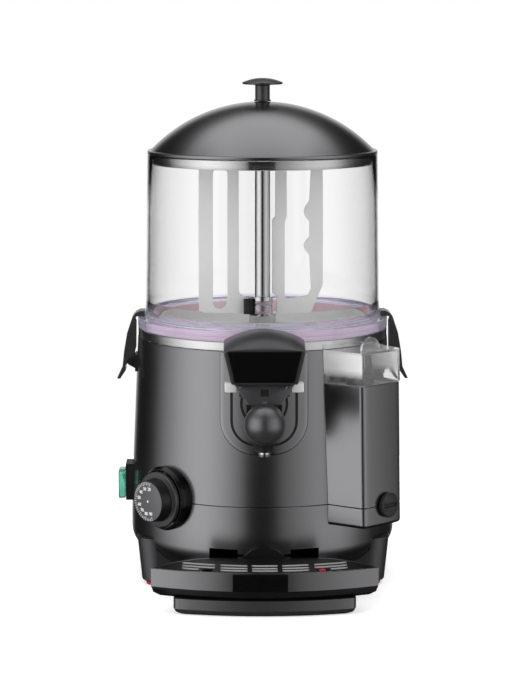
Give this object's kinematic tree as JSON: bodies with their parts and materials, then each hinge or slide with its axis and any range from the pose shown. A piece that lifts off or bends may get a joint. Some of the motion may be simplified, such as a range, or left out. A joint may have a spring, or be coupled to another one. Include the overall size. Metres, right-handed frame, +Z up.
{
  "type": "hot chocolate dispenser machine",
  "caption": "Countertop machine that heats and stirs drinking chocolate in a clear lidded bowl and pours it from a lever tap over a drip tray.",
  "frame": {"origin": "centre of the bounding box at the height of the feet's undersides", "axes": "+Z up along the bowl's axis, -Y towards the tap and tray, +X to the machine's right as seen from the front, where the water tank is"},
  "size_m": [0.276, 0.322, 0.47],
  "materials": {
    "body": "dark graphite, semi-gloss pearl",
    "trim": "charcoal satin",
    "gloss": "black high gloss",
    "steel": "polished stainless",
    "clear": "clear polycarbonate",
    "paddle": "milky translucent plastic",
    "gasket": "pink silicone",
    "rubber": "red rubber",
    "switch": "translucent green",
    "motor": "cast, matt",
    "white": "white",
    "black": "black satin"
  },
  "bodies": {
    "machine": {"base_cover": "black", "base_frame": "trim", "bowl": "clear", "bowl_gasket": "gasket", "cord_gland": "black", "filler_ring": "black", "foot_front_left": "rubber", "foot_front_right": "rubber", "foot_rear_left": "rubber", "foot_rear_right": "rubber", "front_foot": "trim", "gear_motor": "motor", "heater_coil": "steel", "hood_panel": "gloss", "latch_bracket_left": "black", "latch_bracket_right": "black", "lower_shell": "body", "motor_bracket": "steel", "pin_cap_left": "white", "pin_cap_right": "white", "pivot_pin": "steel", "spout_tip": "steel", "steel_pot": "steel", "switch_cover": "clear", "switch_housing": "black", "tap_body": "trim", "tap_hood": "trim", "tap_plate": "body", "terminal_block": "white", "thermostat_bezel": "trim", "thermostat_body": "white", "upper_shell": "body", "water_jacket": "steel", "water_tank": "white"},
    "mixer": {"drive_shaft": "steel", "stirrer_hub": "black", "stirrer_column": "steel", "paddle_left": "paddle", "paddle_right": "paddle", "pot_scraper": "paddle"},
    "lid": {"lid_dome": "trim", "lid_band": "steel", "lid_knob": "trim"},
    "tap_handle": {"tap_lever": "trim", "ball_knob": "trim"},
    "valve": {"valve_piston": "steel", "return_spring": "steel"},
    "latch_left": {"latch_lever_left": "trim"},
    "latch_right": {"latch_lever_right": "trim"},
    "dial": {"dial_knob": "body", "dial_spindle": "steel"},
    "rocker": {"rocker": "switch"},
    "tray": {"drip_tray": "trim", "tray_label": "gloss"},
    "grille": {"drip_grille": "trim"},
    "float": {"tray_float": "rubber"},
    "water_cover": {"water_cover": "clear"},
    "drain_plug": {"drain_plug": "trim"}
  },
  "joints": [
    {"name": "mixer_spin", "type": "hinge", "parent": "machine", "child": "mixer", "pos_m": [0, 0.031, 0.252], "axis": [0, 0, 1], "continuous": true},
    {"name": "lid_lift", "type": "slide", "parent": "machine", "child": "lid", "axis": [0, 0, 1], "range_m": [0, 0.06]},
    {"name": "tap_swing", "type": "hinge", "parent": "machine", "child": "tap_handle", "pos_m": [0, -0.0975, 0.198], "axis": [-1, 0, 0], "range_deg": [0, 18], "stiffness_Nm_per_rad": 1, "springref_deg": -5.73},
    {"name": "valve_lift", "type": "slide", "parent": "machine", "child": "valve", "axis": [0, 0, 1], "range_m": [0, 0.007], "deforming": ["return_spring"]},
    {"name": "latch_left_swing", "type": "hinge", "parent": "machine", "child": "latch_left", "pos_m": [-0.1245, 0.031, 0.2035], "axis": [0, -1, 0], "range_deg": [0, 35]},
    {"name": "latch_right_swing", "type": "hinge", "parent": "machine", "child": "latch_right", "pos_m": [0.1245, 0.031, 0.2035], "axis": [0, 1, 0], "range_deg": [0, 35]},
    {"name": "thermostat_turn", "type": "hinge", "parent": "machine", "child": "dial", "pos_m": [-0.09486, -0.06222, 0.088], "axis": [0.7133, 0.7009, 0], "range_deg": [0, 270]},
    {"name": "switch_rock", "type": "hinge", "parent": "machine", "child": "rocker", "pos_m": [-0.126, 0.031, 0.085], "axis": [0, 1, 0], "range_deg": [0, 12]},
    {"name": "tray_slide", "type": "slide", "parent": "machine", "child": "tray", "axis": [0, -1, 0], "range_m": [0, 0.08]},
    {"name": "grille_lift", "type": "slide", "parent": "tray", "child": "grille", "axis": [0, 0, 1], "range_m": [0, 0.03]},
    {"name": "float_rise", "type": "slide", "parent": "tray", "child": "float", "axis": [0, 0, 1], "range_m": [0, 0.006]},
    {"name": "water_cover_lift", "type": "slide", "parent": "machine", "child": "water_cover", "axis": [0, 0, 1], "range_m": [0, 0.025]},
    {"name": "drain_turn", "type": "hinge", "parent": "machine", "child": "drain_plug", "pos_m": [0.11257, -0.08109, 0.0862], "axis": [0.6884, -0.7254, 0], "range_deg": [0, 90]}
  ],
  "couplings": [
    {"joint": "valve_lift", "follows": "tap_swing", "m_per_rad": 0.021}
  ]
}
